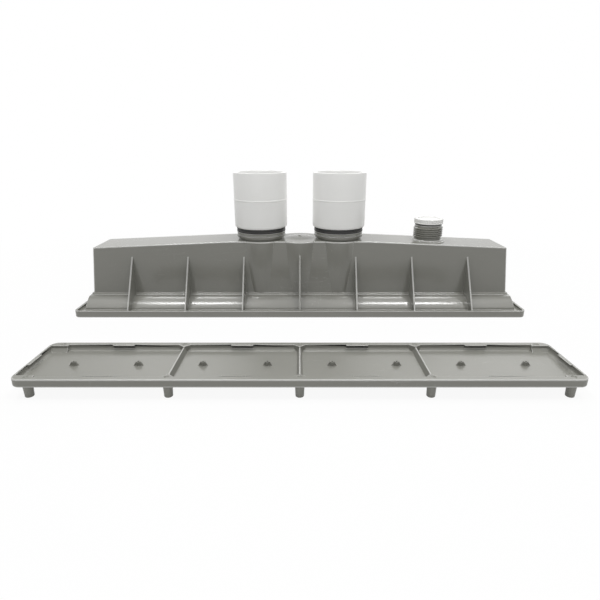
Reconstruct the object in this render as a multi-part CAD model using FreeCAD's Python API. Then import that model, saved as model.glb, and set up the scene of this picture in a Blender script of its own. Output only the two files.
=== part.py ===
import FreeCAD, Part
import math
import os

# Channel drain laid out as a kit: the trough stands upside down on its rim, with its outlets up,
# and the cover tray stands on its own feet in front of it. Millimetres, X along the drain, Z up,
# origin on the ground under the middle of the layout.

# Rim of the trough: a flange with a lip round it, which the trough stands on
rim_length = 500.0
rim_width = 122.0
rim_corner_radius = 6.5
lip_height = 7.7
lip_thickness = 2.2
lip_foot_round = 1.0
lip_top_round = 0.5
flange_lift = 2.6
flange_thickness = 2.2
flange_side_width = 12.5
flange_end_width = 7.8

# Trough: a wide shoulder, then a drafted channel whose floor falls from the outlets to both ends
wall = 2.2
shoulder_end_run = 2.4
shoulder_height = 16.6
crown_ledge = 7.1
crown_round = 6.0
brow_height = 6.3
brow_bulge = 0.8
brow_round = 3.0
foot_band_height = 2.0
foot_band_proud = 2.2
foot_band_round = 1.8
channel_height = 77.8
side_draft_deg = 2.8
end_draft_deg = 5.6
floor_fall_deg = 2.5
corner_round = 1.6
floor_edge_round = 1.4

# Gussets along both long walls
gusset_count = 7
gusset_end_margin = 49.0
gusset_thickness = 1.7
gusset_apex_height = 60.5
middle_gusset_apex_height = 63.5

# Outlets: a round sump, a collar and a spigot each, and a blank boss between them
outlet_spacing = 90.0
pipe_diameter = 50.0
spigot_wall = 3.0
spigot_chamfer = 1.0
collar_width = 3.0
collar_height = 8.7
collar_groove_lift = 5.3
collar_groove = 0.8
collar_foot_height = 3.2
collar_foot_inset = 2.4
sump_margin = 1.4
sump_swell = 1.7
sump_draft_deg = 0.7
sump_blend = 1.3
ridge_margin = 3.5
blank_boss_radius = 19.0
blank_boss_height = 2.2

# Pipe sleeves and their seals
socket_clearance = 0.1
sleeve_wall = 5.0
socket_depth = 29.0
sleeve_stop_length = 3.0
sleeve_stop_height = 2.2
sleeve_bead_height = 0.35
sleeve_bead_length = 1.4
sleeve_bead_lift = 31.2
sleeve_foot_round = 2.8
sleeve_mouth_round = 1.0
seal_height = 4.7
seal_proud = 0.2
seal_round = 1.3

# Inlet: a nipple, drawn at the root of its one inch pipe thread, with a screw plug and its gasket
inlet_offset = 150.0
nipple_height = 19.0
nipple_root_radius = 15.15
nipple_wall = 2.15
nipple_chamfer = 0.8
nipple_base_radius = 17.8
nipple_base_height = 2.3
nipple_base_chamfer = 0.9
nipple_pad_radius = 19.6
nipple_pad_height = 0.6
gasket_height = 1.2
gasket_width = 2.3
plug_clearance = 0.3
plug_head_radius = 16.4
plug_head_height = 5.5
plug_head_round = 1.0
plug_flute_count = 36
plug_flute_radius = 0.85
plug_dish_radius = 12.6
plug_dish_depth = 1.3
plug_shank_length = 12.0
plug_shank_wall = 2.2

# Cover tray
tray_length = 436.0
tray_width = 68.0
tray_corner_radius = 7.5
tray_rim_height = 6.9
tray_rim_width = 5.2
tray_end_rim_width = 1.8
tray_floor_thickness = 1.5
tray_cove_radius = 3.2
tray_recess_corner_radius = 4.5
tray_edge_round = 1.0
tray_foot_edge_round = 1.2
tray_panel_count = 4
tray_end_panel_extra = 6.1
tray_divider_top = 1.0
tray_divider_base = 4.6
tray_divider_drop = 0.6
tray_lug_length = 19.0
tray_lug_reach = 1.5
tray_lug_thickness = 0.8
tray_lug_drop = 0.1
tray_slot_height = 2.2
tray_slot_depth = 3.0
tray_foot_height = 9.8
tray_foot_top_radius = 3.7
tray_foot_tip_radius = 3.3
tray_foot_tip_round = 0.8
tray_foot_inset = 5.2
tray_end_foot_inset = 11.5
tray_boss_width = 10.0
tray_boss_reach = 4.6
tray_pad_depth = 7.4
tray_pad_reach = 5.0
tray_pad_skirt = 3.0
tray_dimple_inset = 4.6
tray_dimple_radius = 2.0
tray_dimple_depth = 0.7
anchor_end_margin = 33.9
anchor_radius = 1.7
anchor_height = 3.7
anchor_bore_radius = 0.8
anchor_web_length = 2.3
anchor_web_thickness = 1.4

# Layout: clear ground between the tray and the trough
kit_gap = 103.0

# Sizes that follow from the ones above
layout_depth = tray_width + kit_gap + rim_width
trough_y = layout_depth / 2 - rim_width / 2
tray_y = -layout_depth / 2 + tray_width / 2
flange_top = flange_lift + flange_thickness
shoulder_length = rim_length - 2 * flange_end_width
shoulder_width = rim_width - 2 * flange_side_width
channel_length = shoulder_length - 2 * shoulder_end_run
gusset_pitch = (channel_length - 2 * gusset_end_margin) / (gusset_count - 1)
spigot_radius = pipe_diameter / 2
spigot_bore_radius = spigot_radius - spigot_wall
collar_radius = spigot_radius + collar_width
collar_top = channel_height + collar_height
sump_radius = collar_radius + sump_margin
channel_width = 2 * (sump_radius - sump_swell)
shoulder_run = (shoulder_width - channel_width) / 2
ridge_length = outlet_spacing + 2 * (sump_radius + ridge_margin)
outlet_places = (-outlet_spacing / 2, outlet_spacing / 2)
socket_radius = spigot_radius + socket_clearance
sleeve_radius = socket_radius + sleeve_wall
sleeve_foot = collar_top + seal_height
sleeve_length = 2 * socket_depth + sleeve_stop_length
nipple_bore_radius = nipple_root_radius - nipple_wall
tray_rim_top = tray_foot_height + tray_rim_height
tray_floor_top = tray_foot_height + tray_floor_thickness
tray_end_foot_x = tray_length / 2 - tray_end_foot_inset
tray_divider_pitch = 2 * (tray_end_foot_x - tray_end_panel_extra) / tray_panel_count
tray_pad_length = tray_end_foot_inset + tray_pad_reach
recess_length = tray_length - 2 * tray_end_rim_width
recess_width = tray_width - 2 * tray_rim_width

# Cuts run this far past the faces they open
overcut = 1.0

# An edge is level within this distance, and a face is floor if it tilts no more than this
level_tolerance = 1e-4
floor_tilt_limit_deg = 25.0

UP = FreeCAD.Vector(0, 0, 1)
ALONG = FreeCAD.Vector(1, 0, 0)
ORIGIN = FreeCAD.Vector(0, 0, 0)


def floor_height(x):
    """Outside height of the channel floor, level over the outlets and falling away to both ends."""
    fall = math.tan(math.radians(floor_fall_deg))
    return channel_height - max(0.0, abs(x) - ridge_length / 2) * fall


inlet_base = floor_height(inlet_offset)
nipple_top = inlet_base + nipple_height
plug_seat = nipple_top + gasket_height


def polygon_face(points):
    return Part.Face(Part.makePolygon(points + points[:1]))


def prism_across(outline):
    """Prism right across the trough, from (x, z) points of its side view."""
    face = polygon_face([FreeCAD.Vector(x, -rim_width, z) for x, z in outline])
    return face.extrude(FreeCAD.Vector(0, 2 * rim_width, 0))


def prism_along(outline):
    """Prism along the whole trough, from (y, z) points of its end view."""
    face = polygon_face([FreeCAD.Vector(-rim_length, y, z) for y, z in outline])
    return face.extrude(ALONG * 2 * rim_length)


def rounded_rectangle(length, width, radius, z):
    """Face of a rectangle with round corners, centred on the origin at height z."""
    x = length / 2 - radius
    y = width / 2 - radius
    arcs = []
    for quarter, (centre_x, centre_y) in enumerate([(x, y), (-x, y), (-x, -y), (x, -y)]):
        circle = Part.Circle(FreeCAD.Vector(centre_x, centre_y, z), UP, radius)
        arcs.append(Part.Arc(circle, quarter * math.pi / 2, (quarter + 1) * math.pi / 2).toShape())
    edges = []
    for arc, following in zip(arcs, arcs[1:] + arcs[:1]):
        edges.append(arc)
        edges.append(Part.LineSegment(arc.lastVertex().Point, following.firstVertex().Point).toShape())
    return Part.Face(Part.Wire(edges))


def rounded_block(length, width, radius, low, high):
    return rounded_rectangle(length, width, radius, low).extrude(UP * (high - low))


def turned(profile, x=0.0):
    """Solid of revolution from (radius, height) points, about a vertical axis at x."""
    face = polygon_face([FreeCAD.Vector(r, 0, z) for r, z in profile])
    solid = face.revolve(ORIGIN, UP, 360)
    solid.translate(ALONG * x)
    return solid


def edges_at_height(solid, height):
    """Edges that lie whole in the level plane at this height."""
    level = []
    for edge in solid.Edges:
        points = [vertex.Point for vertex in edge.Vertexes]
        points.append(edge.valueAt((edge.FirstParameter + edge.LastParameter) / 2))
        if all(abs(point.z - height) < level_tolerance for point in points):
            level.append(edge)
    return level


def fused(solids):
    """One solid from pieces that overlap or meet, with split faces merged."""
    return solids[0].multiFuse(solids[1:]).removeSplitter().Solids[0]


def shoulder_block(inset):
    """The wide part of the trough, shrunk on all sides by inset: a level crown, a brow that slopes in a
    shallow arc and upright sides, with round bends between them."""
    slope = math.atan2(shoulder_height - brow_height, shoulder_run - crown_ledge)
    edge_y = shoulder_width / 2 - inset
    ledge_y = channel_width / 2 + crown_ledge - inset * math.tan(slope / 2)
    crown_z = shoulder_height - inset
    brow_z = crown_z - (edge_y - ledge_y) * math.tan(slope)
    foot_z = flange_lift if inset == 0 else -overcut
    bulge_y = (edge_y + ledge_y) / 2 + brow_bulge * math.sin(slope)
    bulge_z = (brow_z + crown_z) / 2 + brow_bulge * math.cos(slope)

    def point(y, z):
        return FreeCAD.Vector(inset - shoulder_length / 2, y, z)

    edges = []
    for side in (1, -1):
        brow, crown = point(side * edge_y, brow_z), point(side * ledge_y, crown_z)
        edges.append(Part.LineSegment(point(side * edge_y, foot_z), brow).toShape())
        edges.append(Part.Arc(brow, point(side * bulge_y, bulge_z), crown).toShape())
    edges.append(Part.LineSegment(point(-ledge_y, crown_z), point(ledge_y, crown_z)).toShape())
    edges.append(Part.LineSegment(point(-edge_y, foot_z), point(edge_y, foot_z)).toShape())
    section = Part.Face(Part.Wire(Part.sortEdges(edges)[0]))
    block = section.extrude(ALONG * (shoulder_length - 2 * inset))
    for z, bend in ((crown_z, crown_round - inset), (brow_z, brow_round - inset)):
        along = [e for e in edges_at_height(block, z) if e.BoundBox.XLength > shoulder_length / 2]
        block = block.makeFillet(bend, along)
    return block


def channel_block(inset):
    """The drafted channel, cut to the fall of its floor, shrunk on all sides by inset."""
    low, high = flange_top, channel_height + overcut

    def half(size, draft_deg, z):
        return size / 2 - inset - (z - shoulder_height) * math.tan(math.radians(draft_deg))

    x_low, x_high = (half(channel_length, end_draft_deg, z) for z in (low, high))
    y_low, y_high = (half(channel_width, side_draft_deg, z) for z in (low, high))
    side_view = [(-x_low, low), (x_low, low), (x_high, high), (-x_high, high)]
    end_view = [(-y_low, low), (y_low, low), (y_high, high), (-y_high, high)]
    block = prism_across(side_view).common(prism_along(end_view)).Solids[0]
    upright = [e for e in block.Edges if abs(e.Vertexes[0].Point.z - e.Vertexes[1].Point.z) > overcut]
    block = block.makeFillet(corner_round, upright)
    under_floor = [(-rim_length, 0), (rim_length, 0)]
    under_floor += [(x, floor_height(x) - inset)
                    for x in (rim_length, ridge_length / 2, -ridge_length / 2, -rim_length)]
    return block.common(prism_across(under_floor)).Solids[0]


def sump_cones(inset):
    """The round sumps under the two outlets and the blank boss, their feet buried in the shoulder."""
    low, high = shoulder_height - 2 * wall, channel_height - inset
    foot_radius = sump_radius - (channel_height - low) * math.tan(math.radians(sump_draft_deg))
    cones = []
    for x in (*outlet_places, 0.0):
        centre = FreeCAD.Vector(x, 0, low)
        top_radius = sump_radius - (channel_height - high) * math.tan(math.radians(sump_draft_deg))
        cones.append(Part.makeCone(foot_radius - inset, top_radius - inset, high - low, centre, UP))
    return cones


def is_floor_face(face):
    low_u, high_u, low_v, high_v = face.ParameterRange
    normal = face.normalAt((low_u + high_u) / 2, (low_v + high_v) / 2)
    return normal.z > math.cos(math.radians(floor_tilt_limit_deg))


def channel_shell():
    """Outside of the channel with its sumps, their seams blended and the floor's edge rounded."""
    solid = fused([channel_block(0)] + sump_cones(0))
    seams = []
    for edge in solid.Edges:
        surfaces = {type(face.Surface) for face in solid.ancestorsOfType(edge, Part.Face)}
        if surfaces == {Part.Cone, Part.Plane} and edge.BoundBox.ZLength > overcut:
            seams.append(edge)
    solid = solid.makeFillet(sump_blend, seams).Solids[0]
    floor_edges = []
    for edge in solid.Edges:
        on_floor = [is_floor_face(face) for face in solid.ancestorsOfType(edge, Part.Face)]
        if on_floor.count(True) == 1:
            floor_edges.append(edge)
    return solid.makeFillet(floor_edge_round, floor_edges).Solids[0]


def foot_band():
    """Small step round the foot of the channel, where it grows out of the shoulder."""
    length = channel_length + 2 * foot_band_proud
    width = channel_width + 2 * foot_band_proud
    top = shoulder_height + foot_band_height
    band = rounded_block(length, width, corner_round + foot_band_proud, flange_top, top)
    return band.makeFillet(foot_band_round, edges_at_height(band, top))


def rim():
    """Flange and lip, with the lip's outer edges rounded."""
    outer = rounded_block(rim_length, rim_width, rim_corner_radius, 0, lip_height)
    outer = outer.makeFillet(lip_foot_round, edges_at_height(outer, 0))
    outer = outer.makeFillet(lip_top_round, edges_at_height(outer, lip_height))
    inner_length, inner_width = rim_length - 2 * lip_thickness, rim_width - 2 * lip_thickness
    inner_radius = rim_corner_radius - lip_thickness
    above = rounded_block(inner_length, inner_width, inner_radius, flange_top, lip_height + overcut)
    below = rounded_block(inner_length, inner_width, inner_radius, -overcut, flange_lift)
    return outer.cut(above).cut(below)


def gussets():
    """Triangular webs across the shoulder, down to the lip from high on the wall or on the middle sump."""
    lip_y = rim_width / 2 - lip_thickness
    rise = gusset_apex_height - shoulder_height
    wall_apex = (channel_width / 2 - rise * math.tan(math.radians(side_draft_deg)), gusset_apex_height)
    fall = channel_height - middle_gusset_apex_height
    sump_apex = (sump_radius - fall * math.tan(math.radians(sump_draft_deg)), middle_gusset_apex_height)
    webs = []
    for i in range(gusset_count):
        place = i - (gusset_count - 1) / 2
        outline = [(lip_y, flange_lift), (lip_y, lip_height), wall_apex if place else sump_apex]
        outline += [(-y, z) for y, z in reversed(outline)]
        x = place * gusset_pitch - gusset_thickness / 2
        face = polygon_face([FreeCAD.Vector(x, y, z) for y, z in outline])
        webs.append(face.extrude(ALONG * gusset_thickness))
    return webs


def spigot(x):
    """Collar with a narrower foot and a groove, and the pipe end that the sleeve slides over."""
    groove_low = channel_height + collar_groove_lift
    groove_high = groove_low + collar_groove
    top = sleeve_foot + socket_depth - socket_clearance
    foot_radius = collar_radius - collar_foot_inset
    profile = [(0, channel_height - wall), (foot_radius, channel_height - wall), (foot_radius, channel_height),
               (collar_radius, channel_height + collar_foot_height), (collar_radius, groove_low),
               (collar_radius - collar_groove, groove_low), (collar_radius - collar_groove, groove_high),
               (collar_radius, groove_high), (collar_radius, collar_top), (spigot_radius, collar_top),
               (spigot_radius, top - spigot_chamfer), (spigot_radius - spigot_chamfer, top), (0, top)]
    return turned(profile, x)


def blank_boss():
    """Low dome over the middle sump, where a third outlet could stand."""
    ball_radius = (blank_boss_radius ** 2 + blank_boss_height ** 2) / (2 * blank_boss_height)
    ball_height = channel_height + blank_boss_height - ball_radius
    ball = Part.makeSphere(ball_radius, FreeCAD.Vector(0, 0, ball_height))
    slab = Part.makeCylinder(blank_boss_radius, blank_boss_height + wall,
                             FreeCAD.Vector(0, 0, channel_height - wall / 2), UP)
    return ball.common(slab)


def nipple():
    """Tube of the inlet on a low pad, with a ring round its foot."""
    profile = [(0, inlet_base - wall), (nipple_pad_radius, inlet_base - wall),
               (nipple_pad_radius, inlet_base + nipple_pad_height),
               (nipple_base_radius, inlet_base + nipple_pad_height),
               (nipple_base_radius, inlet_base + nipple_base_height - nipple_base_chamfer),
               (nipple_base_radius - nipple_base_chamfer, inlet_base + nipple_base_height),
               (nipple_root_radius, inlet_base + nipple_base_height),
               (nipple_root_radius, nipple_top - nipple_chamfer),
               (nipple_root_radius - nipple_chamfer, nipple_top), (0, nipple_top)]
    return turned(profile, inlet_offset)


def bore(x, radius, top):
    """Way through the channel floor and up a tube that ends at this height."""
    low = channel_height / 2
    return Part.makeCylinder(radius, top + overcut - low, FreeCAD.Vector(x, 0, low), UP)


def channel_body():
    outside = [shoulder_block(0), channel_shell(), foot_band(), rim(), blank_boss(), nipple()]
    outside += gussets() + [spigot(x) for x in outlet_places]
    inside = [shoulder_block(wall), channel_block(wall)] + sump_cones(wall)
    inside += [bore(x, spigot_bore_radius, sleeve_foot + socket_depth) for x in outlet_places]
    inside.append(bore(inlet_offset, nipple_bore_radius, nipple_top))
    return fused(outside).cut(fused(inside))


def outlet_sleeve(x):
    """Straight pipe coupling: two sockets with a stop ring between them."""
    top = sleeve_foot + sleeve_length
    stop_low = sleeve_foot + socket_depth
    stop_high = stop_low + sleeve_stop_length
    stop_radius = socket_radius - sleeve_stop_height
    bead_low = sleeve_foot + sleeve_bead_lift - sleeve_bead_length / 2
    bead_high = bead_low + sleeve_bead_length
    bead_radius = sleeve_radius + sleeve_bead_height
    profile = [(socket_radius, sleeve_foot), (sleeve_radius, sleeve_foot), (sleeve_radius, bead_low),
               (bead_radius, bead_low), (bead_radius, bead_high), (sleeve_radius, bead_high),
               (sleeve_radius, top), (socket_radius, top), (socket_radius, stop_high),
               (stop_radius, stop_high), (stop_radius, stop_low), (socket_radius, stop_low)]
    solid = turned(profile, x)
    foot = [e for e in edges_at_height(solid, sleeve_foot) if e.Curve.Radius > socket_radius]
    mouth = [e for e in edges_at_height(solid, top) if e.Curve.Radius > socket_radius]
    return solid.makeFillet(sleeve_foot_round, foot).makeFillet(sleeve_mouth_round, mouth)


def outlet_seal(x):
    """Rubber ring between the collar and the sleeve."""
    outer_radius = collar_radius + seal_proud
    profile = [(socket_radius, collar_top), (outer_radius, collar_top),
               (outer_radius, sleeve_foot), (socket_radius, sleeve_foot)]
    solid = turned(profile, x)
    outer = [e for e in solid.Edges if isinstance(e.Curve, Part.Circle) and e.Curve.Radius > collar_radius]
    return solid.makeFillet(seal_round, outer)


def inlet_plug():
    """Screw plug with a fluted head, dished on top, and a hollow shank in the nipple."""
    top = plug_seat + plug_head_height
    shank_radius = nipple_bore_radius - plug_clearance
    shank_low = nipple_top - plug_shank_length
    head = Part.makeCylinder(plug_head_radius, plug_head_height, FreeCAD.Vector(0, 0, plug_seat), UP)
    head = head.makeFillet(plug_head_round, [e for e in head.Edges if isinstance(e.Curve, Part.Circle)])
    flutes = []
    for i in range(plug_flute_count):
        angle = 2 * math.pi * i / plug_flute_count
        radius = plug_head_radius + plug_flute_radius / 2
        centre = FreeCAD.Vector(radius * math.cos(angle), radius * math.sin(angle), plug_seat - overcut)
        flutes.append(Part.makeCylinder(plug_flute_radius, plug_head_height + 2 * overcut, centre, UP))
    head = head.cut(flutes)
    shank = Part.makeCylinder(shank_radius, plug_seat - shank_low, FreeCAD.Vector(0, 0, shank_low), UP)
    hollow = Part.makeCylinder(shank_radius - plug_shank_wall, plug_seat - shank_low,
                               FreeCAD.Vector(0, 0, shank_low - plug_shank_wall), UP)
    dish = Part.makeCylinder(plug_dish_radius, plug_dish_depth + overcut,
                             FreeCAD.Vector(0, 0, top - plug_dish_depth), UP)
    plug = fused([head, shank]).cut([hollow, dish])
    plug.translate(ALONG * inlet_offset)
    return plug


def inlet_plug_seal():
    """Flat gasket that the head of the plug clamps on the nipple."""
    inner = nipple_bore_radius + plug_clearance / 2
    profile = [(inner, nipple_top), (inner + gasket_width, nipple_top),
               (inner + gasket_width, plug_seat), (inner, plug_seat)]
    return turned(profile, inlet_offset)


def tray_stations():
    """Places of the feet along the tray: near both ends and under every divider."""
    inner = [(i - tray_panel_count / 2) * tray_divider_pitch for i in range(1, tray_panel_count)]
    return [-tray_end_foot_x] + inner + [tray_end_foot_x]


def tray_foot_places():
    y = tray_width / 2 - tray_foot_inset
    return [(x, side * y) for x in tray_stations() for side in (-1, 1)]


def tray_boss(x, side):
    """Three-cornered widening of the rim over a foot, at the end of a divider."""
    rim_y = side * recess_width / 2
    tip_y = side * (recess_width / 2 - tray_boss_reach)
    outer_y = side * tray_width / 2
    west, east = x - tray_boss_width / 2, x + tray_boss_width / 2
    outline = [(west, outer_y), (west, rim_y), (x, tip_y), (east, rim_y), (east, outer_y)]
    face = polygon_face([FreeCAD.Vector(boss_x, boss_y, tray_floor_top) for boss_x, boss_y in outline])
    return face.extrude(UP * tray_rim_height)


def tray_pad(side_x, side_y):
    """Widening of the rim over a corner foot, with a sloped skirt down to the floor."""
    outer_y = tray_width / 2
    front_y = outer_y - tray_pad_depth
    end_view = [(outer_y, tray_floor_top), (front_y - tray_pad_skirt, tray_floor_top),
                (front_y, tray_floor_top + tray_pad_skirt), (front_y, tray_rim_top), (outer_y, tray_rim_top)]
    face = polygon_face([FreeCAD.Vector(side_x * tray_length / 2, side_y * y, z) for y, z in end_view])
    return face.extrude(ALONG * -side_x * tray_pad_length)


def tray_divider(x):
    """Ridge across the tray between two panels, wider at its foot."""
    top = tray_rim_top - tray_divider_drop
    foot_half, top_half = tray_divider_base / 2, tray_divider_top / 2
    end_view = [(x - foot_half, tray_floor_top), (x + foot_half, tray_floor_top),
                (x + top_half, top), (x - top_half, top)]
    face = polygon_face([FreeCAD.Vector(ridge_x, -tray_width / 2, z) for ridge_x, z in end_view])
    return face.extrude(FreeCAD.Vector(0, tray_width, 0))


def tray_recess():
    """Hollow of the tray with a coved floor, less the dividers, bosses and pads that stand in it."""
    recess = rounded_block(recess_length, recess_width, tray_recess_corner_radius,
                           tray_floor_top, tray_rim_top + overcut)
    recess = recess.makeFillet(tray_cove_radius, edges_at_height(recess, tray_floor_top))
    standing = [tray_pad(side_x, side_y) for side_x in (-1, 1) for side_y in (-1, 1)]
    for x in tray_stations()[1:-1]:
        standing += [tray_boss(x, -1), tray_boss(x, 1), tray_divider(x)]
    return recess.cut(standing)


def tray_lugs():
    """Short ledges along the inner edge of the rim, which key the tile bed."""
    low = tray_rim_top - tray_lug_drop - tray_lug_thickness
    side_root = tray_rim_width / 2
    side_depth = side_root + tray_lug_reach
    end_root = tray_end_rim_width / 2
    end_depth = end_root + tray_lug_reach
    stations = tray_stations()
    lugs = []
    for station, following in zip(stations, stations[1:]):
        x = (station + following) / 2 - tray_lug_length / 2
        for y in (-recess_width / 2 - side_root, recess_width / 2 - tray_lug_reach):
            corner = FreeCAD.Vector(x, y, low)
            lugs.append(Part.makeBox(tray_lug_length, side_depth, tray_lug_thickness, corner))
    for x in (-recess_length / 2 - end_root, recess_length / 2 - tray_lug_reach):
        corner = FreeCAD.Vector(x, -tray_lug_length / 2, low)
        lugs.append(Part.makeBox(end_depth, tray_lug_length, tray_lug_thickness, corner))
    return lugs


def tray_slots():
    """Blind slots in the long rims, one under each lug."""
    low = tray_rim_top - tray_lug_drop - tray_lug_thickness - tray_slot_height
    stations = tray_stations()
    slots = []
    for station, following in zip(stations, stations[1:]):
        x = (station + following) / 2 - tray_lug_length / 2
        for y in (-recess_width / 2 - tray_slot_depth, recess_width / 2 - overcut):
            corner = FreeCAD.Vector(x, y, low)
            slots.append(Part.makeBox(tray_lug_length, tray_slot_depth + overcut, tray_slot_height, corner))
    return slots


def tray_anchors():
    """Hollow studs along the tray floor, two to a panel, each between two sloped webs."""
    low = tray_floor_top - tray_floor_thickness / 2
    top = tray_floor_top + anchor_height
    reach = anchor_radius + anchor_web_length
    count = 2 * tray_panel_count
    pitch = (tray_length - 2 * anchor_end_margin) / (count - 1)
    anchors = []
    for i in range(count):
        x = (i - (count - 1) / 2) * pitch
        stud = Part.makeCylinder(anchor_radius, top - low, FreeCAD.Vector(x, 0, low), UP)
        side_view = [(x - reach, low), (x + reach, low), (x + reach, tray_floor_top),
                     (x + anchor_radius, top), (x - anchor_radius, top), (x - reach, tray_floor_top)]
        y = -anchor_web_thickness / 2
        web = polygon_face([FreeCAD.Vector(web_x, y, web_z) for web_x, web_z in side_view])
        web = web.extrude(FreeCAD.Vector(0, anchor_web_thickness, 0))
        hole = Part.makeCylinder(anchor_bore_radius, anchor_height + overcut,
                                 FreeCAD.Vector(x, 0, tray_floor_top), UP)
        anchors.append(stud.fuse(web).cut(hole))
    return anchors


def tray_foot(x, y):
    """Tapered foot under the rim, its top buried in the floor of the tray."""
    top = tray_floor_top - tray_floor_thickness / 2
    foot = Part.makeCone(tray_foot_tip_radius, tray_foot_top_radius, top, FreeCAD.Vector(x, y, 0), UP)
    return foot.makeFillet(tray_foot_tip_round, edges_at_height(foot, 0))


def cover_tray():
    outer = rounded_block(tray_length, tray_width, tray_corner_radius, tray_foot_height, tray_rim_top)
    outer = outer.makeFillet(tray_foot_edge_round, edges_at_height(outer, tray_foot_height))
    outer = outer.makeFillet(tray_edge_round, edges_at_height(outer, tray_rim_top))
    shell = outer.cut(tray_recess())
    feet = [tray_foot(x, y) for x, y in tray_foot_places()]
    dimple_y = tray_width / 2 - tray_dimple_inset
    dimples = [Part.makeCylinder(tray_dimple_radius, tray_dimple_depth + overcut,
                                 FreeCAD.Vector(x, side * dimple_y, tray_rim_top - tray_dimple_depth), UP)
               for x in tray_stations() for side in (-1, 1)]
    return fused([shell] + feet + tray_lugs() + tray_anchors()).cut(dimples + tray_slots())


def single_solid(shape, name):
    """The one solid that a moulded piece has to be."""
    if len(shape.Solids) != 1 or not shape.isValid():
        raise ValueError(f"{name}: {len(shape.Solids)} solids, valid {shape.isValid()}")
    return shape.Solids[0]


def main():
    pieces = {"channel_body": channel_body()}
    pieces["inlet_plug"] = inlet_plug()
    pieces["inlet_plug_seal"] = inlet_plug_seal()
    for side, x in zip(("left", "right"), outlet_places):
        pieces[f"outlet_sleeve_{side}"] = outlet_sleeve(x)
        pieces[f"outlet_seal_{side}"] = outlet_seal(x)
    for shape in pieces.values():
        shape.translate(FreeCAD.Vector(0, trough_y, 0))
    pieces["cover_tray"] = cover_tray()
    pieces["cover_tray"].translate(FreeCAD.Vector(0, tray_y, 0))
    os.makedirs("parts", exist_ok=True)
    for name, shape in pieces.items():
        solid = single_solid(shape, name)
        solid.exportStep(f"parts/{name}.step")
        box = solid.BoundBox
        print(f"{name}: {solid.Volume / 1000:.1f} cm3, x {box.XMin:.1f} to {box.XMax:.1f}, "
              f"y {box.YMin:.1f} to {box.YMax:.1f}, z {box.ZMin:.1f} to {box.ZMax:.1f}")


main()
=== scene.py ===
# %% [markdown]
# # A channel drain kit
# The trough of a shower drain stands upside down on its rim, with two pipe sleeves on its outlets and a
# screw plug on its inlet. Its cover, a tray for a tile, stands on its own feet in front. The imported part
# gives every main shape at its true size. This file dresses it: softened edges, finer turned pieces, a
# real thread, and a plastic, a pipe white and a rubber that look like themselves.

import math

import bmesh
import bpy
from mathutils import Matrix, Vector
from mathutils.bvhtree import BVHTree


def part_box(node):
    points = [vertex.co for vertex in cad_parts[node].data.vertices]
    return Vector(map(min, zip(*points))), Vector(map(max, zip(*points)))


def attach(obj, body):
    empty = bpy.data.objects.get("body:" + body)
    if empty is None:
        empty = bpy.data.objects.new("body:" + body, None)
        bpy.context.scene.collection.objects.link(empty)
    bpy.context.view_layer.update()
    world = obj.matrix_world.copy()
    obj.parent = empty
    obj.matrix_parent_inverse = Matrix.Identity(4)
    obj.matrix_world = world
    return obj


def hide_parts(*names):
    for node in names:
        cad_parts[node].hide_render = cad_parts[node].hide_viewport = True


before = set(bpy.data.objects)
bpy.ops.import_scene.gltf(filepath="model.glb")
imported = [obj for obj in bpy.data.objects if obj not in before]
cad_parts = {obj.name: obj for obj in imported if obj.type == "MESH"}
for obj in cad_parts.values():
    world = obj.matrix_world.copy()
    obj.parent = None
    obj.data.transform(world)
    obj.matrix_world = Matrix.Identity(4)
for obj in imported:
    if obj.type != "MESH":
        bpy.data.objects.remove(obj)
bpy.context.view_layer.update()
MM = 0.001
print("nodes:", sorted(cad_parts))

# %% [markdown]
# ## Camera
# The photograph was taken from close by, a little above the sleeves, so near edges are much wider than far
# ones. The lens and the place below were found by fitting a camera to points of the rim, the gussets, the
# sleeves and the feet. The picture is square, so the sensor width gives the angle both ways.

# %% Camera
SENSOR = 36.0
FOCAL_PIXELS = 458.4
PICTURE_PIXELS = 600
CAMERA_PLACE = (0.0002, -0.4493, 0.1835)
CAMERA_PITCH = 0.331
NEAREST_SEEN = 0.01

camera_data = bpy.data.cameras.new("camera")
camera_data.sensor_width = SENSOR
camera_data.lens = SENSOR * FOCAL_PIXELS / PICTURE_PIXELS
camera_data.clip_start = NEAREST_SEEN
camera = bpy.data.objects.new("camera", camera_data)
bpy.context.scene.collection.objects.link(camera)
camera.location = CAMERA_PLACE
camera.rotation_euler = (math.pi / 2 - CAMERA_PITCH, 0, 0)
bpy.context.scene.camera = camera
bpy.context.scene.view_settings.view_transform = "Standard"
print("lens in mm:", round(camera_data.lens, 2))

# %% [markdown]
# ## Studio
# The plastic is glossy, so what it shows is mostly the lamps. The white streaks on the shoulder come in two
# lines, left and right, so the lamps do too: four narrow boxes high overhead, a pair to the front and a pair
# to the back. A broad soft box above them and a weak one in front fill in. Two low boxes far behind give the
# sheen on the floor of the tray, and the gap between them leaves the dome between the sleeves grey.

# %% Lamps
def softbox(name, place, width, height, power, pitch=0):
    """Area lamp that faces down. A pitch in degrees turns it to the back, or to the front if negative."""
    data = bpy.data.lights.new(name, "AREA")
    data.shape = "RECTANGLE"
    data.size = width
    data.size_y = height
    data.energy = power
    lamp = bpy.data.objects.new(name, data)
    bpy.context.scene.collection.objects.link(lamp)
    lamp.location = place
    lamp.rotation_euler = (math.radians(pitch), 0, 0)


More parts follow.
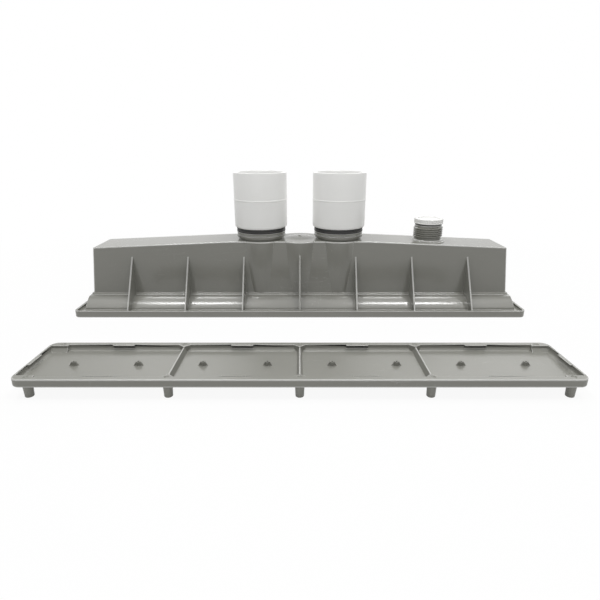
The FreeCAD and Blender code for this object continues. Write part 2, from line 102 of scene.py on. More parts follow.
# Places and sizes in metres, power in watts.
STRIP_ASIDE, STRIP_UP, STRIP_WIDTH = 0.44, 1.35, 0.36
SHEEN_BACK, SHEEN_UP, SHEEN_HEIGHT, SHEEN_PITCH = 2.2, 1.45, 1.0, -59
for side, aside in (("left", -STRIP_ASIDE), ("right", STRIP_ASIDE)):
    softbox(f"front_strip_{side}", (aside, -0.15, STRIP_UP), STRIP_WIDTH, height=0.12, power=3.9)
    softbox(f"back_strip_{side}", (aside, 0.34, STRIP_UP), STRIP_WIDTH, height=0.14, power=2.4)
softbox("overhead", (0.0, -0.15, 1.65), width=2.2, height=0.8, power=8.6)
softbox("front_fill", (0.0, -1.3, 0.9), width=1.6, height=0.8, power=5.0, pitch=57)
for side, aside, width, power in (("left", -0.85, 0.8, 6.5), ("right", 1.2, 1.5, 12.2)):
    softbox(f"back_sheen_{side}", (aside, SHEEN_BACK, SHEEN_UP), width, SHEEN_HEIGHT, power, SHEEN_PITCH)
print("lamps:", {lamp.name: round(lamp.energy, 1) for lamp in bpy.data.lights})

# %% [markdown]
# ## Ground and room
# The floor is a pale matt sheet. Further out it is white altogether. The room does the same: a weak even
# light, but white where it is looked at.

# %% Helpers for nodes
def shader_tree(name):
    """New material with an empty node tree, and its output node."""
    material = bpy.data.materials.new(name)
    material.use_nodes = True
    tree = material.node_tree
    tree.nodes.clear()
    return material, tree, tree.nodes.new("ShaderNodeOutputMaterial")


def math_node(tree, operation, first, second=0.0):
    """Math node from sockets or numbers."""
    node = tree.nodes.new("ShaderNodeMath")
    node.operation = operation
    for socket, value in zip(node.inputs, (first, second)):
        if isinstance(value, (int, float)):
            socket.default_value = value
        else:
            tree.links.new(value, socket)
    return node.outputs[0]


def ramp(tree, value, start, end, to=(0.0, 1.0), blend="LINEAR"):
    """A value between start and end, mapped to the range in to and kept inside it."""
    node = tree.nodes.new("ShaderNodeMapRange")
    node.interpolation_type = blend
    for label, number in zip(("From Min", "From Max", "To Min", "To Max"), (start, end, *to)):
        node.inputs[label].default_value = number
    tree.links.new(value, node.inputs["Value"])
    return node.outputs["Result"]


def seen_directly(tree):
    """Socket that is 1 for rays from the camera, in a reflection or through glass."""
    path = tree.nodes.new("ShaderNodeLightPath")
    total = path.outputs["Is Camera Ray"]
    for name in ("Is Glossy Ray", "Is Transmission Ray"):
        total = math_node(tree, "MAXIMUM", total, path.outputs[name])
    return total


def mixed(tree, share, first, second, output):
    """Two shaders mixed by a share and joined to the output."""
    mix = tree.nodes.new("ShaderNodeMixShader")
    tree.links.new(share, mix.inputs["Fac"])
    tree.links.new(first.outputs[0], mix.inputs[1])
    tree.links.new(second.outputs[0], mix.inputs[2])
    tree.links.new(mix.outputs[0], output.inputs["Surface"])


print("helpers:", [helper.__name__ for helper in (shader_tree, math_node, ramp, seen_directly, mixed)])

# %% Floor
MATT_WHITE = (0.80, 0.80, 0.80, 1)
NEAR_WHITE = 0.92
FADE_START, FADE_END = 0.25, 0.75
FLOOR_HALF = 4.0

floor_material, tree, output = shader_tree("studio_floor")
matt = tree.nodes.new("ShaderNodeBsdfDiffuse")
matt.inputs["Color"].default_value = MATT_WHITE
white = tree.nodes.new("ShaderNodeEmission")
white.inputs["Strength"].default_value = 1.0
where = tree.nodes.new("ShaderNodeTexCoord")
away = tree.nodes.new("ShaderNodeVectorMath")
away.operation = "LENGTH"
tree.links.new(where.outputs["Object"], away.inputs[0])
fade = ramp(tree, away.outputs["Value"], FADE_START, FADE_END, (NEAR_WHITE, 1.0), "SMOOTHSTEP")
mixed(tree, math_node(tree, "MULTIPLY", seen_directly(tree), fade), matt, white, output)

floor_mesh = bpy.data.meshes.new("studio_floor")
floor_corners = [(x * FLOOR_HALF, y * FLOOR_HALF, 0) for x, y in ((-1, -1), (1, -1), (1, 1), (-1, 1))]
floor_mesh.from_pydata(floor_corners, [], [(0, 1, 2, 3)])
floor_mesh.materials.append(floor_material)
floor = bpy.data.objects.new("studio_floor", floor_mesh)
bpy.context.scene.collection.objects.link(floor)
print("floor:", FLOOR_HALF * 2, "m square")

# %% Room
ROOM_LIGHT = 0.24
WHITE = (1, 1, 1, 1)

world = bpy.data.worlds.new("studio")
bpy.context.scene.world = world
world.use_nodes = True
tree = world.node_tree
tree.nodes.clear()
output = tree.nodes.new("ShaderNodeOutputWorld")
room, backdrop = (tree.nodes.new("ShaderNodeBackground") for _ in range(2))
for background, strength in ((room, ROOM_LIGHT), (backdrop, 1.0)):
    background.inputs["Color"].default_value = WHITE
    background.inputs["Strength"].default_value = strength
mixed(tree, seen_directly(tree), room, backdrop, output)
print("room light:", ROOM_LIGHT)

# %% [markdown]
# ## A skin for moulded plastic
# Moulded plastic is never one flat colour. It has slow clouds where the melt flowed, a faint orange peel, and
# a gloss that changes from place to place. All the finishes need some of that, so it is one node group with
# the sizes as inputs. It puts out a tone, a gloss and a height, and each material uses them its own way.

# %% Group: moulded skin
FLOW = (0.45, 1.0, 1.0)
GLOSS_OF_CLOUDS, GLOSS_OF_PEEL = 0.6, 0.4
HEIGHT_OF_PEEL = 0.06


def node_group(name, inputs, outputs):
    """Shader group with a vector input, float inputs (name, value) and outputs, and its two end nodes."""
    group = bpy.data.node_groups.new(name, "ShaderNodeTree")
    group.interface.new_socket("Vector", in_out="INPUT", socket_type="NodeSocketVector")
    for label, value in inputs:
        socket = group.interface.new_socket(label, in_out="INPUT", socket_type="NodeSocketFloat")
        socket.default_value = value
    for label in outputs:
        group.interface.new_socket(label, in_out="OUTPUT", socket_type="NodeSocketFloat")
    return group, group.nodes.new("NodeGroupInput"), group.nodes.new("NodeGroupOutput")


def noise(group, vector, scale, detail, roughness=0.5):
    """Noise value on vector; scale is a socket of the group."""
    node = group.nodes.new("ShaderNodeTexNoise")
    node.inputs["Detail"].default_value = detail
    node.inputs["Roughness"].default_value = roughness
    group.links.new(vector, node.inputs["Vector"])
    group.links.new(scale, node.inputs["Scale"])
    return node.outputs["Fac"]


def stretched(group, vector, factors):
    """The same coordinates, stretched by three factors."""
    node = group.nodes.new("ShaderNodeVectorMath")
    node.operation = "MULTIPLY"
    node.inputs[1].default_value = factors
    group.links.new(vector, node.inputs[0])
    return node.outputs[0]


skin, ends_in, ends_out = node_group(
    "moulded_skin", [("Cloud Scale", 12.0), ("Wave Scale", 55.0), ("Peel Scale", 900.0)],
    ["Tone", "Gloss", "Height"])
place = ends_in.outputs["Vector"]
clouds = noise(skin, stretched(skin, place, FLOW), ends_in.outputs["Cloud Scale"], detail=4.0, roughness=0.55)
waves = noise(skin, place, ends_in.outputs["Wave Scale"], detail=1.0)
peel = noise(skin, place, ends_in.outputs["Peel Scale"], detail=2.0)
gloss = math_node(skin, "ADD", math_node(skin, "MULTIPLY", clouds, GLOSS_OF_CLOUDS),
                  math_node(skin, "MULTIPLY", peel, GLOSS_OF_PEEL))
height = math_node(skin, "ADD", waves, math_node(skin, "MULTIPLY", peel, HEIGHT_OF_PEEL))
for label, value in (("Tone", clouds), ("Gloss", gloss), ("Height", height)):
    skin.links.new(value, ends_out.inputs[label])
print("group:", skin.name, [item.name for item in skin.interface.items_tree])

# %% [markdown]
# ## Signs of handling
# A part out of its carton has hairline rubs and a little dust. The rubs are a noise stretched until only thin
# lines are left, in two directions, and the dust is the top of a fine noise. Both are masks from 0 to 1.

# %% Group: handling
NOISE_MIDDLE = 0.5
ALONG_STRETCH, ALONG_WIDTH = (0.25, 3.0, 3.0), 0.006
ACROSS_STRETCH, ACROSS_WIDTH = (2.5, 0.5, 1.2), 0.005
PATCH_SCALE, PATCH_START, PATCH_END = 0.3, 0.5, 0.7
SPECK_START, SPECK_END = 0.74, 0.80


def thin_lines(group, vector, scale, factors, half_width):
    """Mask of thin lines: the middle of a stretched noise."""
    value = noise(group, stretched(group, vector, factors), scale, detail=2.0)
    away = math_node(group, "ABSOLUTE", math_node(group, "SUBTRACT", value, NOISE_MIDDLE))
    return ramp(group, away, half_width, 0.0)


handling, ends_in, ends_out = node_group(
    "handling", [("Rub Scale", 60.0), ("Dust Scale", 1400.0)], ["Rubs", "Dust"])
place, rub_scale = ends_in.outputs["Vector"], ends_in.outputs["Rub Scale"]
along = thin_lines(handling, place, rub_scale, ALONG_STRETCH, ALONG_WIDTH)
across = thin_lines(handling, place, rub_scale, ACROSS_STRETCH, ACROSS_WIDTH)
patches = noise(handling, place, math_node(handling, "MULTIPLY", rub_scale, PATCH_SCALE), detail=2.0)
rubs = math_node(handling, "MULTIPLY", math_node(handling, "MAXIMUM", along, across),
                 ramp(handling, patches, PATCH_START, PATCH_END))
grains = noise(handling, place, ends_in.outputs["Dust Scale"], detail=1.0)
handling.links.new(rubs, ends_out.inputs["Rubs"])
handling.links.new(ramp(handling, grains, SPECK_START, SPECK_END), ends_out.inputs["Dust"])
print("group:", handling.name, [item.name for item in handling.interface.items_tree])

# %% [markdown]
# ## Finishes
# Grey and white plastic differ in colour, gloss and how much of the skin shows, so one recipe makes both and
# the plug. The tray is the same grey as the trough but satin, so that its floor has a soft sheen and no clear
# reflections. Rubber is darker and matt, with more grain. The recipe also reads a mark that the two mouldings
# carry on the strips along their edges, and paints those strips lighter as a painted highlight, on top of
# the real rubs and dust. Colours are written as they look in plain light.

# %% Recipe for a finish
# Mark and share of the painted highlight on the strips along the edges of the two mouldings.
HIGHLIGHT_MARK = "painted_edge_highlight"
EDGE_HIGHLIGHT = 0.8
RUB_PALE, DUST_PALE = 0.25, 0.35
WORN_ROUGHNESS = 0.5
GLOSS_START, GLOSS_END = 0.3, 0.7


def finish(name, dark, light, gloss, bump, rub_and_highlight_colour, scales):
    """Plastic or rubber: two tones, a range of roughness, a bump in metres, a colour for rubs, dust and the
    painted edge highlight, then cloud, wave and peel scales.
    """
    material, tree, output = shader_tree(name)
    where = tree.nodes.new("ShaderNodeTexCoord")
    skin_node, marks = (tree.nodes.new("ShaderNodeGroup") for _ in range(2))
    for node, group in ((skin_node, skin), (marks, handling)):
        node.node_tree = group
        tree.links.new(where.outputs["Object"], node.inputs["Vector"])
    for label, value in zip(("Cloud Scale", "Wave Scale", "Peel Scale"), scales):
        skin_node.inputs[label].default_value = value

    tones, worn_and_highlit = (tree.nodes.new("ShaderNodeMix") for _ in range(2))
    tones.data_type = worn_and_highlit.data_type = "RGBA"
    tones.inputs["A"].default_value = (*dark, 1)
    tones.inputs["B"].default_value = (*light, 1)
    tree.links.new(skin_node.outputs["Tone"], tones.inputs["Factor"])
    worn_and_highlit.inputs["B"].default_value = (*rub_and_highlight_colour, 1)
    tree.links.new(tones.outputs["Result"], worn_and_highlit.inputs["A"])
    worn = math_node(tree, "MAXIMUM", math_node(tree, "MULTIPLY", marks.outputs["Rubs"], RUB_PALE),
                     math_node(tree, "MULTIPLY", marks.outputs["Dust"], DUST_PALE))
    # Painted highlight: faces with the edge mark are mixed towards the rub colour, together with the real
    # rubs and dust.
    edge = tree.nodes.new("ShaderNodeAttribute")
    edge.attribute_name = HIGHLIGHT_MARK
    wear_and_highlight = math_node(tree, "MAXIMUM", worn, math_node(tree, "MULTIPLY", edge.outputs["Fac"], EDGE_HIGHLIGHT))
    tree.links.new(wear_and_highlight, worn_and_highlit.inputs["Factor"])

    smooth = ramp(tree, skin_node.outputs["Gloss"], GLOSS_START, GLOSS_END, gloss)
    rubbed = math_node(tree, "ADD", smooth, math_node(tree, "MULTIPLY", worn, WORN_ROUGHNESS))
    relief = tree.nodes.new("ShaderNodeBump")
    relief.inputs["Strength"].default_value = 1.0
    relief.inputs["Distance"].default_value = bump
    tree.links.new(skin_node.outputs["Height"], relief.inputs["Height"])

    surface = tree.nodes.new("ShaderNodeBsdfPrincipled")
    for source, label in ((worn_and_highlit.outputs["Result"], "Base Color"), (rubbed, "Roughness"),
                          (relief.outputs["Normal"], "Normal")):
        tree.links.new(source, surface.inputs[label])
    tree.links.new(surface.outputs[0], output.inputs["Surface"])
    return material


print("a painted edge highlight takes", EDGE_HIGHLIGHT, "of the rub colour")

# %% Materials
# The grey rub colour is also the colour of the painted highlight along the edges of the trough and the tray.
GREY_DARK, GREY_LIGHT, GREY_RUB_AND_HIGHLIGHT = (0.196, 0.195, 0.174), (0.226, 0.225, 0.201), (0.5, 0.5, 0.48)
GREY_BUMP, GREY_SCALES = 0.00003, (12.0, 45.0, 900.0)
WHITE_RUB = (0.6, 0.6, 0.58)

grey_plastic = finish("drain_grey", GREY_DARK, GREY_LIGHT, gloss=(0.11, 0.17), bump=GREY_BUMP,
                      rub_and_highlight_colour=GREY_RUB_AND_HIGHLIGHT, scales=GREY_SCALES)
satin_grey = finish("tray_grey", GREY_DARK, GREY_LIGHT, gloss=(0.36, 0.44), bump=GREY_BUMP,
                    rub_and_highlight_colour=GREY_RUB_AND_HIGHLIGHT, scales=GREY_SCALES)
white_pipe = finish("sleeve_white", (0.83, 0.83, 0.81), (0.87, 0.87, 0.855), gloss=(0.28, 0.40), bump=0.00012,
                    rub_and_highlight_colour=WHITE_RUB, scales=(20.0, 70.0, 1200.0))
white_plug = finish("plug_white", (0.71, 0.71, 0.69), (0.76, 0.76, 0.745), gloss=(0.32, 0.45), bump=0.00008,
                    rub_and_highlight_colour=WHITE_RUB, scales=(40.0, 120.0, 1500.0))
black_rubber = finish("seal_black", (0.018, 0.018, 0.018), (0.032, 0.032, 0.031), gloss=(0.42, 0.6),
                      bump=0.0001, rub_and_highlight_colour=(0.12, 0.12, 0.12), scales=(50.0, 160.0, 1800.0))
print("materials:", [m.name for m in (grey_plastic, satin_grey, white_pipe, white_plug, black_rubber)])

# %% [markdown]
# ## The two grey mouldings
# The trough and the tray are already true to size in the imported part, but every edge there is knife sharp.
# A real moulding has edges a few tenths of a millimetre round, and they catch the light as thin bright lines.
# So each gets a merged copy of the imported mesh with a narrow bevel, which stands in for the plain one. The
# clamp of the bevel would shrink every edge to suit the smallest, so it is off, and the few corners that
# the bevel throws too far go back to the imported surface. The narrow strips that turn round a long edge are
# then marked, by how much a face turns over its width, and the finish gives them a painted highlight. Studs
# and other small details are left out.

# %% Painted highlights along the edges
SHARP_ROUND = 1.7 * MM
SMALL_DETAIL = 12 * MM


def patch_size(patch):
    """Longest side of the box round some faces."""
    corners = [vertex.co for face in patch for vertex in face.verts]
    return max(max(c[i] for c in corners) - min(c[i] for c in corners) for i in range(3))


def mark_highlight_strips(mesh):
    """Face attribute for a painted highlight: 1 on narrow strips along long edges, where the radius is under
    SHARP_ROUND.
    """
    bm = bmesh.new()
    bm.from_mesh(mesh)
    strips = set()
    for face in bm.faces:
        longest = max(edge.calc_length() for edge in face.edges)
        turn = sum(edge.calc_face_angle_signed(0) * edge.calc_length() for edge in face.edges) / longest / 2
        if turn * SHARP_ROUND > face.calc_area() / longest:
            strips.add(face)
    marks = [0.0] * len(bm.faces)
    while strips:
        patch = [strips.pop()]
        for face in patch:
            near = {other for edge in face.edges for other in edge.link_faces} & strips
            strips -= near
            patch.extend(near)
        if patch_size(patch) > SMALL_DETAIL:
            for face in patch:
                marks[face.index] = 1.0
    bm.free()
    mesh.attributes.new(HIGHLIGHT_MARK, "FLOAT", "FACE").data.foreach_set("value", marks)
    return int(sum(marks))


print("marked: edges under", round(SHARP_ROUND / MM, 1), "mm round,",
      "over", round(SMALL_DETAIL / MM), "mm long")

# %% Trough and tray
SAME_PLACE = 0.02 * MM
FLAT_ANGLE, BEVEL_ANGLE = math.radians(0.5), math.radians(38)
BEVEL_STEPS = 2
STRAY = 0.4
TROUGH_ROUND, TRAY_ROUND = 0.45 * MM, 0.35 * MM


def add_piece(name, mesh, body, material):
    """Object at the origin that rides on a body and takes a finish."""
    piece = bpy.data.objects.new(name, mesh)
    bpy.context.scene.collection.objects.link(piece)
    mesh.materials.clear()
    mesh.materials.append(material)
    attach(piece, body)
    return piece


def plain_mesh(draft):
    """The mesh that a draft object's modifiers make of it. The draft goes."""
    name = draft.name
    bpy.context.scene.collection.objects.link(draft)
    mesh = bpy.data.meshes.new_from_object(draft.evaluated_get(bpy.context.evaluated_depsgraph_get()))
    old = draft.data
    bpy.data.objects.remove(draft)
    bpy.data.meshes.remove(old)
    mesh.name = name
    return mesh


def softened_copy(node, name, edge_round, material):
    """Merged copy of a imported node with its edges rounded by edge_round, in metres."""
    bm = bmesh.new()
    bm.from_mesh(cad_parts[node].data)
    packed = BVHTree.FromBMesh(bm)
    bmesh.ops.remove_doubles(bm, verts=bm.verts, dist=SAME_PLACE)
    bmesh.ops.dissolve_limit(bm, angle_limit=FLAT_ANGLE, verts=bm.verts, edges=bm.edges)
    mesh = bpy.data.meshes.new(name)
    bm.to_mesh(mesh)
    bm.free()
    mesh.shade_smooth()
    draft = bpy.data.objects.new(name, mesh)
    bevel = draft.modifiers.new("edges", "BEVEL")
    bevel.width = edge_round
    bevel.segments = BEVEL_STEPS
    bevel.limit_method = "ANGLE"
    bevel.angle_limit = BEVEL_ANGLE
    bevel.use_clamp_overlap = False
    mesh = plain_mesh(draft)
    for vertex in mesh.vertices:
        nearest, _, _, distance = packed.find_nearest(vertex.co)
        if distance > STRAY * edge_round:
            vertex.co = nearest
    print(name, "strips along edges:", mark_highlight_strips(mesh))
    draft = bpy.data.objects.new(name, mesh)
    draft.modifiers.new("normals", "WEIGHTED_NORMAL")
    piece = add_piece(name, plain_mesh(draft), "drain", material)
    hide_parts(node)
    return piece


trough = softened_copy("channel_body", "trough", TROUGH_ROUND, grey_plastic)
tray = softened_copy("cover_tray", "tray", TRAY_ROUND, satin_grey)
print("trough faces:", len(trough.data.polygons), "tray faces:", len(tray.data.polygons))

# %% [markdown]
# ## Turned pieces
# Sleeves, seals and the gasket are round, so each is an outline turned about an upright axis. The outline is
# a list of corners, and each corner says how round it is. That is the whole look of a turned plastic piece:
# a soft foot, a bead where the pipe stops inside, a mouth with a short lead-in for the pipe.

# %% Lathe
ARC_STEPS = 5
NEARLY_STRAIGHT = math.radians(89)
TURN_STEPS = 144
TURNED_CREASE = math.radians(40)
SAME_POINT, NO_LENGTH = 1e-7, 1e-8


def rounded_outline(corners, steps=ARC_STEPS):
    """Closed outline from (radius, height, round) corners in millimetres, each corner cut by an arc."""
    points = []
    for index, (r, z, radius) in enumerate(corners):
        corner = Vector((r, z))
        back = (Vector(corners[index - 1][:2]) - corner).normalized()
        on = (Vector(corners[(index + 1) % len(corners)][:2]) - corner).normalized()
        half_angle = back.angle(on) / 2
        if radius == 0 or half_angle > NEARLY_STRAIGHT:
            points.append(corner)
            continue
        centre = corner + (back + on).normalized() * radius / math.sin(half_angle)
        reach = radius / math.tan(half_angle)
        first = corner + back * reach - centre
        turn = first.angle_signed(corner + on * reach - centre)
        for step in range(steps + 1):
            angle = -turn * step / steps
            spoke = Vector((first.x * math.cos(angle) - first.y * math.sin(angle),
                            first.x * math.sin(angle) + first.y * math.cos(angle)))
            points.append(centre + spoke)
    return points


def turned_mesh(name, corners, axis, segments=TURN_STEPS):
    """Mesh of a rounded outline turned about the upright axis through (x, y), in metres."""
    outline = rounded_outline(corners)
    bm = bmesh.new()
    rings = []
    for segment in range(segments):
        angle = 2 * math.pi * segment / segments
        rings.append([bm.verts.new((axis[0] + point.x * MM * math.cos(angle),
                                    axis[1] + point.x * MM * math.sin(angle),
                                    point.y * MM)) for point in outline])
    for ring, following in zip(rings, rings[1:] + rings[:1]):
        for index in range(len(outline)):
            bm.faces.new((ring[index - 1], ring[index], following[index], following[index - 1]))
    bmesh.ops.remove_doubles(bm, verts=bm.verts, dist=SAME_POINT)
    bmesh.ops.dissolve_degenerate(bm, edges=bm.edges, dist=NO_LENGTH)
    bmesh.ops.recalc_face_normals(bm, faces=bm.faces)
    mesh = bpy.data.meshes.new(name)
    bm.to_mesh(mesh)
    bm.free()
    mesh.shade_smooth()
    mesh.set_sharp_from_angle(angle=TURNED_CREASE)
    return mesh


def node_frame(node):
    """Axis (x, y) in metres, then foot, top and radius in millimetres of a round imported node."""
    low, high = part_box(node)
    axis = ((low.x + high.x) / 2, (low.y + high.y) / 2)
    return axis, low.z / MM, high.z / MM, (high.x - low.x) / 2 / MM


print("corner of a square, rounded:", [tuple(round(v, 2) for v in p) for p in
                                       rounded_outline([(0, 0, 1), (9, 0, 0), (9, 9, 0), (0, 9, 0)], 2)[:3]])

# %% Sleeves, seals and gasket
# Sizes in millimetres, like the corners of an outline.
PIPE_RADIUS = 25.1
STOP_RADIUS, STOP_HALF = 22.9, 1.5
BEAD_LIFT, BEAD_PROUD, BEAD_HALF, BEAD_FOOT = 31.2, 0.35, 0.4, 1.0
MOUTH_LEAD, MOUTH_DEPTH = 0.9, 2.6
WAIST_HALF, WAIST_DEPTH, SEAL_TAPER = 0.9, 0.7, 0.1
GASKET_BORE = 13.15
SOFT_FOOT, LEAD_ROUND, RUBBER_ROUND, SOFT, CRISP = 2.6, 1.0, 0.5, 0.4, 0.3
GASKET_ROUND, BORE_ROUND = 0.35, 0.2

for side in ("left", "right"):
    axis, foot, top, widest = node_frame(f"outlet_sleeve_{side}")
    outside = widest - BEAD_PROUD
    bead = foot + BEAD_LIFT
    stop = (foot + top) / 2
    corners = [(PIPE_RADIUS, foot, SOFT), (outside, foot, SOFT_FOOT),
               (outside, bead - BEAD_FOOT, SOFT), (widest, bead - BEAD_HALF, CRISP),
               (widest, bead + BEAD_HALF, CRISP), (outside, bead + BEAD_FOOT, SOFT),
               (outside, top, SOFT), (PIPE_RADIUS + MOUTH_LEAD, top, CRISP),
               (PIPE_RADIUS, top - MOUTH_DEPTH, LEAD_ROUND), (PIPE_RADIUS, stop + STOP_HALF, CRISP),
               (STOP_RADIUS, stop + STOP_HALF, SOFT), (STOP_RADIUS, stop - STOP_HALF, SOFT),
               (PIPE_RADIUS, stop - STOP_HALF, CRISP)]
    mesh = turned_mesh(f"sleeve_{side}", corners, axis)
    piece = add_piece(f"sleeve_{side}", mesh, "drain", white_pipe)
    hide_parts(f"outlet_sleeve_{side}")

    axis, foot, top, widest = node_frame(f"outlet_seal_{side}")
    waist = (foot + top) / 2
    corners = [(PIPE_RADIUS, foot, 0), (widest - SEAL_TAPER, foot, RUBBER_ROUND),
               (widest, waist - WAIST_HALF, RUBBER_ROUND), (widest - WAIST_DEPTH, waist, CRISP),
               (widest, waist + WAIST_HALF, RUBBER_ROUND), (widest - SEAL_TAPER, top, RUBBER_ROUND),
               (PIPE_RADIUS, top, 0)]
    mesh = turned_mesh(f"seal_{side}", corners, axis)
    piece = add_piece(f"seal_{side}", mesh, "drain", black_rubber)
    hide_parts(f"outlet_seal_{side}")

axis, foot, top, widest = node_frame("inlet_plug_seal")
corners = [(GASKET_BORE, foot, BORE_ROUND), (widest, foot, GASKET_ROUND),
           (widest, top, GASKET_ROUND), (GASKET_BORE, top, BORE_ROUND)]
mesh = turned_mesh("gasket", corners, axis)
gasket = add_piece("gasket", mesh, "plug_gasket", black_rubber)
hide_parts("inlet_plug_seal")

# %% [markdown]
# ## Gate mark
# The melt enters the mould at one place, here the middle of the low dome between the sleeves. Where the
# runner was broken off, a stub a millimetre high stays behind, rougher than the skin round it. Its light
# colour is a painted highlight at the top of the dome. It is turned like the rest, and a ray from above
# finds the height of the dome that it stands on.

# %% Gate mark
# Sizes in millimetres. The ray starts a metre up.
GATE_RADIUS, GATE_CROWN, GATE_HEIGHT, GATE_ROOT = 2.0, 1.5, 1.0, 0.4
GATE_ROUND, GATE_STEPS = 0.5, 36
HIGH_ABOVE, DOWN = 1, Vector((0, 0, -1))

shell = BVHTree.FromPolygons([v.co for v in trough.data.vertices], [p.vertices for p in trough.data.polygons])
sleeve_axes = [Vector(node_frame(f"outlet_sleeve_{side}")[0]) for side in ("left", "right")]
dome_axis = (sleeve_axes[0] + sleeve_axes[1]) / 2
dome_top = shell.ray_cast(Vector((*dome_axis, HIGH_ABOVE)), DOWN)[0].z / MM
# The light colour of the stub is a painted highlight at the top of the dome.
gate_highlight = finish("gate_highlight", (0.58, 0.58, 0.56), (0.66, 0.66, 0.64), gloss=(0.40, 0.55), bump=0.00008,
                   rub_and_highlight_colour=WHITE_RUB, scales=(150.0, 500.0, 1800.0))
corners = [(0, dome_top - GATE_ROOT, 0), (GATE_RADIUS, dome_top - GATE_ROOT, 0), (GATE_RADIUS, dome_top, 0),
           (GATE_CROWN, dome_top + GATE_HEIGHT, GATE_ROUND), (0, dome_top + GATE_HEIGHT, 0)]
mesh = turned_mesh("gate_mark", corners, dome_axis, GATE_STEPS)
add_piece("gate_mark", mesh, "drain", gate_highlight)
print("gate mark on the dome at", round(dome_top, 2), "mm")

# %% [markdown]
# ## Ribs by rule: the plug
# The head of the plug has ribs all round for the fingers. Thirty-six copies of one rib on a circle is a rule,
# so Geometry Nodes holds it: a circle of points, a small rod on every point, real geometry at the end. Change
# the count and every rib moves. The rest of the plug is turned.

# %% Group: ring of ribs
FLOAT, INTEGER, VECTOR = "NodeSocketFloat", "NodeSocketInt", "NodeSocketVector"
ROD_SIDES = 14


def geometry_group(name, inputs):
    """Empty geometry group with (name, kind, value) inputs, and its two end nodes."""
    group = bpy.data.node_groups.new(name, "GeometryNodeTree")
    for label, kind, value in inputs:
        socket = group.interface.new_socket(label, in_out="INPUT", socket_type=kind)
        socket.default_value = value
    group.interface.new_socket("Geometry", in_out="OUTPUT", socket_type="NodeSocketGeometry")
    return group, group.nodes.new("NodeGroupInput"), group.nodes.new("NodeGroupOutput")


def put_in_place(group, shape, centre, material, ends_out):
    """Last nodes of a geometry group: move a shape to the centre, make it real, paint it, put it out."""
    move = group.nodes.new("GeometryNodeTransform")
    real = group.nodes.new("GeometryNodeRealizeInstances")
    paint = group.nodes.new("GeometryNodeSetMaterial")
    paint.inputs["Material"].default_value = material
    for source, target in ((shape, move.inputs["Geometry"]),
                           (centre, move.inputs["Translation"]),
                           (move.outputs["Geometry"], real.inputs["Geometry"]),
                           (real.outputs["Geometry"], paint.inputs["Geometry"]),
                           (paint.outputs["Geometry"], ends_out.inputs["Geometry"])):
        group.links.new(source, target)


ribs, ends_in, ends_out = geometry_group(
    "rib_ring", [("Count", INTEGER, 36), ("Ring Radius", FLOAT, 0.0163), ("Rib Radius", FLOAT, 0.0006),
                 ("Rib Height", FLOAT, 0.004), ("Centre", VECTOR, (0, 0, 0))])
circle = ribs.nodes.new("GeometryNodeMeshCircle")
rod = ribs.nodes.new("GeometryNodeMeshCylinder")
rod.inputs["Vertices"].default_value = ROD_SIDES
spread = ribs.nodes.new("GeometryNodeInstanceOnPoints")
for source, target in ((ends_in.outputs["Count"], circle.inputs["Vertices"]),
                       (ends_in.outputs["Ring Radius"], circle.inputs["Radius"]),
                       (ends_in.outputs["Rib Radius"], rod.inputs["Radius"]),
                       (ends_in.outputs["Rib Height"], rod.inputs["Depth"]),
                       (circle.outputs["Mesh"], spread.inputs["Points"]),
                       (rod.outputs["Mesh"], spread.inputs["Instance"])):
    ribs.links.new(source, target)
put_in_place(ribs, spread.outputs["Instances"], ends_in.outputs["Centre"], white_plug, ends_out)
print("group:", ribs.name, [item.name for item in ribs.interface.items_tree])

# %% Plug
# Sizes in millimetres.
PLUG_RIBS, RIB_RADIUS, RIB_SINK, RIB_DROP = 36, 0.6, 0.2, 0.7
PLUG_CORE, PLUG_FLANGE, HEAD_HEIGHT = 15.75, 1.2, 5.5
DISH_RADIUS, DISH_DEPTH, DISH_SLOPE = 12.6, 1.2, 0.6
SHANK_RADIUS, SHANK_WALL = 12.7, 2.2
HEAD_ROUND, PLUG_ROUND, FLANGE_ROUND, INNER_ROUND = 0.8, 0.5, 0.4, 0.2
GROWN_CREASE = math.radians(50)


def grown_mesh(name, group, values):
    """Plain mesh that a geometry group makes with these input values, smooth but for its creases."""
    draft = bpy.data.objects.new(name, bpy.data.meshes.new(name + "_start"))
    modifier = draft.modifiers.new("grow", "NODES")
    modifier.node_group = group
    for item in group.interface.items_tree:
        if item.in_out == "INPUT":
            modifier[item.identifier] = values[item.name]
    mesh = plain_mesh(draft)
    mesh.shade_smooth()
    mesh.set_sharp_from_angle(angle=GROWN_CREASE)
    return mesh


axis, foot, top, widest = node_frame("inlet_plug")
seat = top - HEAD_HEIGHT
dish, flange = top - DISH_DEPTH, seat + PLUG_FLANGE
bore, bore_end = SHANK_RADIUS - SHANK_WALL, seat - SHANK_WALL
corners = [(0, dish, 0), (DISH_RADIUS - DISH_SLOPE, dish, PLUG_ROUND), (DISH_RADIUS, top, PLUG_ROUND),
           (PLUG_CORE, top, HEAD_ROUND), (PLUG_CORE, flange, INNER_ROUND),
           (widest, flange, FLANGE_ROUND), (widest, seat, FLANGE_ROUND),
           (SHANK_RADIUS, seat, INNER_ROUND), (SHANK_RADIUS, foot, PLUG_ROUND),
           (bore, foot, FLANGE_ROUND), (bore, bore_end, PLUG_ROUND), (0, bore_end, 0)]
plug = add_piece("plug_core", turned_mesh("plug_core", corners, axis), "plug", white_plug)
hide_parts("inlet_plug")
rib_low, rib_high = flange - RIB_SINK, top - RIB_DROP
rib_mesh = grown_mesh("plug_ribs", ribs, {
    "Count": PLUG_RIBS, "Ring Radius": PLUG_CORE * MM, "Rib Radius": RIB_RADIUS * MM,
    "Rib Height": (rib_high - rib_low) * MM, "Centre": (*axis, (rib_low + rib_high) / 2 * MM)})
add_piece("plug_ribs", rib_mesh, "plug", white_plug)
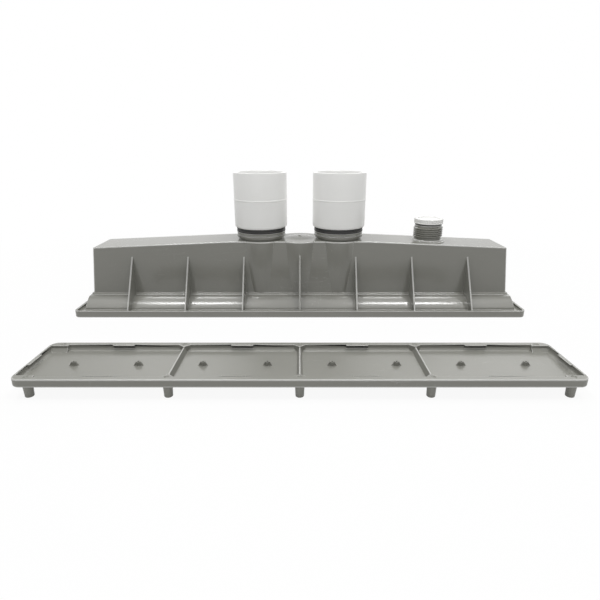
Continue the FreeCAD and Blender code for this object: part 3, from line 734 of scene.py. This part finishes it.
print("plug faces:", len(plug.data.polygons), "rib faces:", len(rib_mesh.polygons))

# %% [markdown]
# ## A thread along a path
# The inlet has an outside pipe thread. A thread is one small section swept along a rising spiral. The foot of
# the section is wider than the pitch, so neighbouring turns run together and leave shallow valleys, as on a
# moulded thread. Both ends fade, so the section is scaled down there. The pitch is the one inch pipe pitch,
# the same that the plug's joint climbs by.

# %% Group: thread
CREST_SHARE, FOOT_SHARE = 0.3, 2.2
END_FADE = 0.06
STEPS_PER_TURN = 96

thread, ends_in, ends_out = geometry_group(
    "pipe_thread", [("Turns", FLOAT, 6.0), ("Root Radius", FLOAT, 0.0152), ("Pitch", FLOAT, 0.002309),
                    ("Depth", FLOAT, 0.0012), ("Centre", VECTOR, (0, 0, 0))])
turns, root, pitch, depth = (ends_in.outputs[label] for label in ("Turns", "Root Radius", "Pitch", "Depth"))
spiral = thread.nodes.new("GeometryNodeCurveSpiral")
spiral.inputs["Resolution"].default_value = STEPS_PER_TURN
spiral.inputs["Reverse"].default_value = True
upright = thread.nodes.new("GeometryNodeSetCurveNormal")
upright.mode = "Z_UP"
section = thread.nodes.new("GeometryNodeCurvePrimitiveQuadrilateral")
section.mode = "TRAPEZOID"
section.inputs["Offset"].default_value = 0.0
crest_out = thread.nodes.new("GeometryNodeTransform")
crest_out.inputs["Rotation"].default_value = (0, 0, -math.pi / 2)
along = thread.nodes.new("GeometryNodeSplineParameter")
from_the_end = math_node(thread, "PINGPONG", along.outputs["Factor"], 0.5)
sweep = thread.nodes.new("GeometryNodeCurveToMesh")
sweep.inputs["Fill Caps"].default_value = True
# The section straddles the spiral, so it is twice as high as the thread is deep.
for source, target in ((turns, spiral.inputs["Rotations"]),
                       (root, spiral.inputs["Start Radius"]),
                       (root, spiral.inputs["End Radius"]),
                       (math_node(thread, "MULTIPLY", turns, pitch), spiral.inputs["Height"]),
                       (math_node(thread, "MULTIPLY", depth, 2.0), section.inputs["Height"]),
                       (math_node(thread, "MULTIPLY", pitch, FOOT_SHARE), section.inputs["Bottom Width"]),
                       (math_node(thread, "MULTIPLY", pitch, CREST_SHARE), section.inputs["Top Width"]),
                       (ramp(thread, from_the_end, 0.0, END_FADE), sweep.inputs["Scale"]),
                       (spiral.outputs["Curve"], upright.inputs["Curve"]),
                       (upright.outputs["Curve"], sweep.inputs["Curve"]),
                       (section.outputs["Curve"], crest_out.inputs["Geometry"]),
                       (crest_out.outputs["Geometry"], sweep.inputs["Profile Curve"])):
    thread.links.new(source, target)
put_in_place(thread, sweep.outputs["Mesh"], ends_in.outputs["Centre"], grey_plastic, ends_out)
print("group:", thread.name, [item.name for item in thread.interface.items_tree])

# %% Thread
# Sizes in millimetres.
PITCH = 2.309
THREAD_TURNS, THREAD_RUNOUT, THREAD_DEPTH = 5.6, 1.8, 1.45
ROOT_RADIUS = 15.15

seal_axis, nipple_top, _, _ = node_frame("inlet_plug_seal")
thread_foot = nipple_top - THREAD_RUNOUT - THREAD_TURNS * PITCH
thread_mesh = grown_mesh("inlet_thread", thread, {
    "Turns": THREAD_TURNS, "Root Radius": ROOT_RADIUS * MM, "Pitch": PITCH * MM, "Depth": THREAD_DEPTH * MM,
    "Centre": (*seal_axis, thread_foot * MM)})
add_piece("inlet_thread", thread_mesh, "drain", grey_plastic)
spread_out = [(Vector(v.co.xy) - Vector(seal_axis)).length / MM for v in thread_mesh.vertices]
heights = [v.co.z / MM for v in thread_mesh.vertices]
print("thread from radius", round(min(spread_out), 2), "to", round(max(spread_out), 2),
      "height", round(min(heights), 2), "to", round(max(heights), 2), "of", round(nipple_top, 2))
